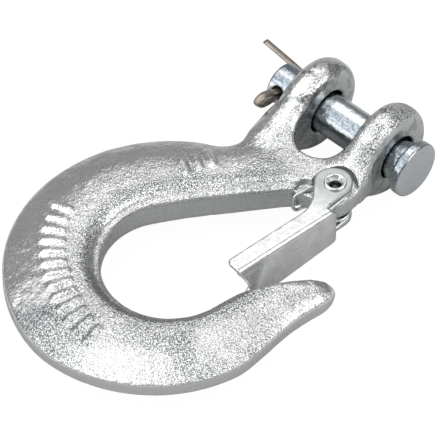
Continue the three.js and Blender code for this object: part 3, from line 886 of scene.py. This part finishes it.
class Shader:
    """A metal material under construction, with its pattern coordinates in millimetres."""

    def __init__(self, name):
        self.material = bpy.data.materials.new(name)
        self.material.use_nodes = True
        self.tree = self.material.node_tree
        self.surface = self.tree.nodes["Principled BSDF"]
        self.surface.inputs["Metallic"].default_value = 1
        place = self.add("ShaderNodeTexCoord")
        scaled = self.add("ShaderNodeVectorMath", operation="SCALE")
        scaled.inputs["Scale"].default_value = 1 / MM
        self.link(place.outputs["Object"], scaled.inputs[0])
        self.coordinates = scaled.outputs[0]

    def add(self, kind, **settings):
        node = self.tree.nodes.new(kind)
        for key, value in settings.items():
            setattr(node, key, value)
        return node

    def link(self, output, socket):
        self.tree.links.new(output, socket)

    def noise(self, scale, detail=3.0, roughness=0.55, distortion=0.0):
        node = self.add("ShaderNodeTexNoise")
        node.inputs["Scale"].default_value = scale
        node.inputs["Detail"].default_value = detail
        node.inputs["Roughness"].default_value = roughness
        node.inputs["Distortion"].default_value = distortion
        self.link(self.coordinates, node.inputs["Vector"])
        return node.outputs["Fac"]

    def cells(self, scale):
        node = self.add("ShaderNodeTexVoronoi", feature="F1")
        node.inputs["Scale"].default_value = scale
        self.link(self.coordinates, node.inputs["Vector"])
        return node.outputs["Distance"]

    def attribute(self, name):
        return self.add("ShaderNodeAttribute", attribute_name=name).outputs["Fac"]

    def ranged(self, value, low, high, to_low, to_high):
        """The value, carried from the first range to the second and held inside it."""
        node = self.add("ShaderNodeMapRange")
        self.link(value, node.inputs["Value"])
        ends = {"From Min": low, "From Max": high, "To Min": to_low, "To Max": to_high}
        for key, number in ends.items():
            node.inputs[key].default_value = number
        return node.outputs["Result"]

    def math(self, operation, a, b):
        node = self.add("ShaderNodeMath", operation=operation)
        for socket, value in zip(node.inputs, (a, b)):
            if isinstance(value, (int, float)):
                socket.default_value = value
            else:
                self.link(value, socket)
        return node.outputs[0]

    def times(self, a, b):
        return self.math("MULTIPLY", a, b)

    def plus(self, a, b):
        return self.math("ADD", a, b)

    def blend(self, share, a, b):
        """A colour between a and b; each is a colour or an output."""
        node = self.add("ShaderNodeMix", data_type="RGBA")
        self.link(share, node.inputs["Factor"])
        for socket, value in ((node.inputs[6], a), (node.inputs[7], b)):
            if isinstance(value, tuple):
                socket.default_value = (*value, 1)
            else:
                self.link(value, socket)
        return node.outputs[2]

    def patches(self, scale, detail, a, b):
        """Two colours that run softly into each other, in patches of that scale."""
        return self.blend(self.ranged(self.noise(scale, detail), 0.35, 0.65, 0, 1), a, b)

    def uneven(self, scale, low, high):
        """A roughness that wanders between two values."""
        return self.ranged(self.noise(scale), 0.3, 0.7, low, high)

    def bump(self, height, distance, over=None):
        """The surface's normal, with the height standing up to that distance in millimetres."""
        node = self.add("ShaderNodeBump")
        node.inputs["Distance"].default_value = distance * MM
        node.inputs["Strength"].default_value = 1
        self.link(height, node.inputs["Height"])
        if over is not None:
            self.link(over, node.inputs["Normal"])
        return node.outputs["Normal"]

    def finish(self, color, roughness, normal):
        self.link(color, self.surface.inputs["Base Color"])
        self.link(roughness, self.surface.inputs["Roughness"])
        self.link(normal, self.surface.inputs["Normal"])
        return self.material


def forged_zinc():
    """Bright plating on a grainy forging, smooth on the side walls left by trimming; painted
    shade darkens bands and patches of the top and the side walls, and a painted highlight whitens
    the rounded edges.
    """
    s = Shader("forged_zinc_plating")
    trimmed_and_shaded = s.attribute("trimmed_and_shaded")
    as_forged = s.times(s.attribute("rough"), s.ranged(trimmed_and_shaded, 0.1, 0.7, 1, 0.12))
    dull = s.times(s.ranged(s.noise(0.075, 2), 0.46, 0.6, 0, 0.3), as_forged)
    # Random darker specks on the clevis, plus the painted shade of the areas listed below.
    specks_and_shade = s.times(s.ranged(s.noise(0.26, 2), 0.5, 0.58, 0, 0.55), s.attribute("clevis"))
    for area, depth in (("inner_slope_shade", 0.32), ("outer_crown_shade", 0.62), ("shaded_hollow", 0.2)):
        specks_and_shade = s.plus(specks_and_shade, s.times(s.attribute(area), depth))
    level = s.math("SUBTRACT", s.math("SUBTRACT", 0.78, dull), specks_and_shade)
    speckle = s.times(s.ranged(s.noise(3.4, 1, 0.6, 0.4), 0.42, 0.58, -1, 1), as_forged)
    contrast = s.plus(s.times(specks_and_shade, 0.9), 0.6)
    light = s.plus(s.times(speckle, contrast), level)
    color = s.blend(light, (0.12, 0.14, 0.15), (1.0, 1.0, 0.99))
    greyed = s.ranged(s.noise(0.09, 2), 0.35, 0.65, 0, 0.22)
    color = s.blend(greyed, color, (0.62, 0.65, 0.64))
    # Painted shade: the side walls turn a darker green-grey, standing in for the darker
    # surroundings they reflect.
    color = s.blend(s.ranged(trimmed_and_shaded, 0.3, 1, 0, 0.55), color, (0.47, 0.50, 0.485))
    # Painted highlight: the rounded edges are whitened in patches.
    painted_edge_highlight = s.times(s.attribute("corner"), s.ranged(s.noise(1.1, 2), 0.35, 0.6, 0.3, 1))
    color = s.blend(painted_edge_highlight, color, (1.0, 1.0, 1.0))
    roughness = s.plus(s.uneven(0.6, 0.1, 0.22), s.ranged(trimmed_and_shaded, 0, 1, 0, 0.12))
    grain = s.times(s.noise(1.5, 3, 0.6, 0.3), as_forged)
    pits = s.times(s.ranged(s.cells(0.9), 0.1, 0.5, 0, 1), as_forged)
    normal = s.bump(s.noise(0.35, 2), 0.22)
    normal = s.bump(pits, 0.03, normal)
    normal = s.bump(grain, 0.36, normal)
    return s.finish(color, roughness, normal)


def turned_zinc():
    """Bluish plating on a turned bar: long drawn patches, a blue-black strip of painted
    reflection and plain flat ends.
    """
    s = Shader("turned_zinc_plating")
    drawn = s.attribute("drawn")
    fine = s.ranged(s.noise(2.2, 2, 0.6), 0.4, 0.6, 0, 0.55)
    mottling = s.times(fine, s.ranged(s.attribute("flat"), 0, 1, 1, 0.35))
    mottled = s.plus(s.ranged(drawn, 0.3, 0.7, -0.35, 0.55), mottling)
    color = s.blend(mottled, (0.70, 0.735, 0.75), (0.24, 0.28, 0.32))
    broken = s.ranged(s.noise(1.5, 3, 0.7), 0.35, 0.6, 1, 0.45)
    # Painted reflection: the blue-black strip along the pin, broken up by noise.
    color = s.blend(s.times(s.attribute("dark_reflection_strip"), broken), color, (0.15, 0.19, 0.24))
    normal = s.bump(drawn, 0.25)
    normal = s.bump(s.noise(0.9, 3, 0.5), 0.1, normal)
    return s.finish(color, s.uneven(1.1, 0.1, 0.24), normal)


def pressed_zinc():
    """Smooth plating on pressed sheet, duller on the ears."""
    s = Shader("pressed_zinc_plating")
    ear = s.attribute("ear")
    grain = s.noise(2.6, 2, 0.6)
    color = s.patches(0.25, 3, (0.84, 0.85, 0.845), (0.70, 0.71, 0.71))
    color = s.blend(s.ranged(grain, 0.45, 0.65, 0, 0.3), color, (0.45, 0.47, 0.475))
    color = s.blend(s.times(ear, 0.75), color, (0.42, 0.44, 0.44))
    roughness = s.plus(s.uneven(0.5, 0.16, 0.3), s.times(ear, 0.12))
    normal = s.bump(s.noise(0.35, 3, 0.5), 0.09)
    normal = s.bump(grain, 0.03, normal)
    return s.finish(color, roughness, normal)


def rivet_zinc():
    s = Shader("rivet_zinc_plating")
    color = s.patches(1.2, 3, (0.84, 0.86, 0.86), (0.7, 0.72, 0.72))
    normal = s.bump(s.noise(2.2, 3, 0.5), 0.05)
    return s.finish(color, s.uneven(1.5, 0.12, 0.26), normal)


def spring_wire():
    s = Shader("bright_spring_wire")
    color = s.patches(1.0, 2, (0.82, 0.86, 0.86), (0.66, 0.7, 0.71))
    normal = s.bump(s.noise(4, 2, 0.5), 0.02)
    return s.finish(color, s.uneven(2.0, 0.12, 0.24), normal)


def cotter_steel():
    s = Shader("dull_brown_steel")
    color = s.patches(0.5, 3, (0.31, 0.27, 0.235), (0.45, 0.395, 0.35))
    normal = s.bump(s.noise(3, 3, 0.5), 0.05)
    return s.finish(color, s.uneven(1.8, 0.3, 0.48), normal)


# ---------------------------------------------------------------- stage, light and camera

# The camera looks at the target, from that distance in millimetres.
VIEW_AZIMUTH = math.radians(-48.02)
VIEW_ELEVATION = math.radians(49.03)
VIEW_DISTANCE = 1342.2
VIEW_TARGET = Vector((-45.7, 3.35, 0))
VIEW_LENS = 437.6
FLOOR_Z = -13.0
FLOOR_SIZE = 8
WORLD_LIGHT = 0.33

# Each lamp's azimuth and elevation, distance in metres, width and height, and radiance.
LAMPS = {
    "overhead_box": (-122, 66, 1.3, (1.8, 1.4), 1.35),
    "left_box": (-117, 18, 1.4, (1.0, 1.3), 1.4),
    "front_box": (16, 40, 1.4, (1.1, 1.0), 1.8),
    "right_box": (116, 54, 1.4, (1.1, 0.8), 1.15),
}


def towards(azimuth, elevation):
    """The direction to look back from: azimuth 0 is on the -Y side."""
    return Vector((
        math.sin(azimuth) * math.cos(elevation),
        -math.cos(azimuth) * math.cos(elevation),
        math.sin(elevation),
    ))


def make_camera():
    data = bpy.data.cameras.new("camera")
    data.lens = VIEW_LENS
    data.clip_start, data.clip_end = 0.05, 10
    camera = bpy.data.objects.new("camera", data)
    bpy.context.scene.collection.objects.link(camera)
    back = towards(VIEW_AZIMUTH, VIEW_ELEVATION)
    camera.location = (VIEW_TARGET + back * VIEW_DISTANCE) * MM
    camera.rotation_mode = "QUATERNION"
    camera.rotation_quaternion = back.to_track_quat("Z", "Y")
    bpy.context.scene.camera = camera


def soft_box(name, azimuth, elevation, distance, size, radiance):
    """A rectangular lamp that faces the object's middle."""
    data = bpy.data.lights.new(name, "AREA")
    data.shape = "RECTANGLE"
    data.size, data.size_y = size
    data.energy = radiance * math.pi * size[0] * size[1]
    lamp = bpy.data.objects.new(name, data)
    bpy.context.scene.collection.objects.link(lamp)
    away = towards(math.radians(azimuth), math.radians(elevation))
    lamp.location = VIEW_TARGET * MM + away * distance
    lamp.rotation_mode = "QUATERNION"
    lamp.rotation_quaternion = away.to_track_quat("Z", "Y")


def make_floor():
    """A plain floor: white to the eye, and mid grey in what the metal reflects."""
    bpy.ops.mesh.primitive_plane_add(size=FLOOR_SIZE, location=(0, 0, FLOOR_Z * MM))
    floor = bpy.context.object
    floor.name = "floor"
    material = bpy.data.materials.new("pale_floor")
    material.use_nodes = True
    tree = material.node_tree
    surface = tree.nodes["Principled BSDF"]
    surface.inputs["Base Color"].default_value = (0.55, 0.55, 0.55, 1)
    surface.inputs["Roughness"].default_value = 0.9
    glow = tree.nodes.new("ShaderNodeEmission")
    glow.inputs["Strength"].default_value = 0.95
    soft = tree.nodes.new("ShaderNodeBsdfDiffuse")
    soft.inputs["Color"].default_value = (0.1, 0.1, 0.1, 1)
    white = tree.nodes.new("ShaderNodeAddShader")
    tree.links.new(glow.outputs[0], white.inputs[0])
    tree.links.new(soft.outputs[0], white.inputs[1])
    seen = tree.nodes.new("ShaderNodeLightPath")
    choice = tree.nodes.new("ShaderNodeMixShader")
    tree.links.new(seen.outputs["Is Camera Ray"], choice.inputs[0])
    tree.links.new(surface.outputs[0], choice.inputs[1])
    tree.links.new(white.outputs[0], choice.inputs[2])
    tree.links.new(choice.outputs[0], tree.nodes["Material Output"].inputs["Surface"])
    floor.data.materials.append(material)


def make_lights():
    scene = bpy.context.scene
    scene.view_settings.view_transform = "Standard"
    scene.world = bpy.data.worlds.new("studio")
    scene.world.use_nodes = True
    background = scene.world.node_tree.nodes["Background"]
    background.inputs["Color"].default_value = (1, 1, 1, 1)
    background.inputs["Strength"].default_value = WORLD_LIGHT
    for name, settings in LAMPS.items():
        soft_box(name, *settings)


# ---------------------------------------------------------------- all together

make_camera()
hook_body(forged_zinc())
clevis_pin(turned_zinc())
cotter_pin(cotter_steel())
safety_latch(pressed_zinc())
tube_rivet(rivet_zinc())
latch_spring(spring_wire())
make_floor()
make_lights()
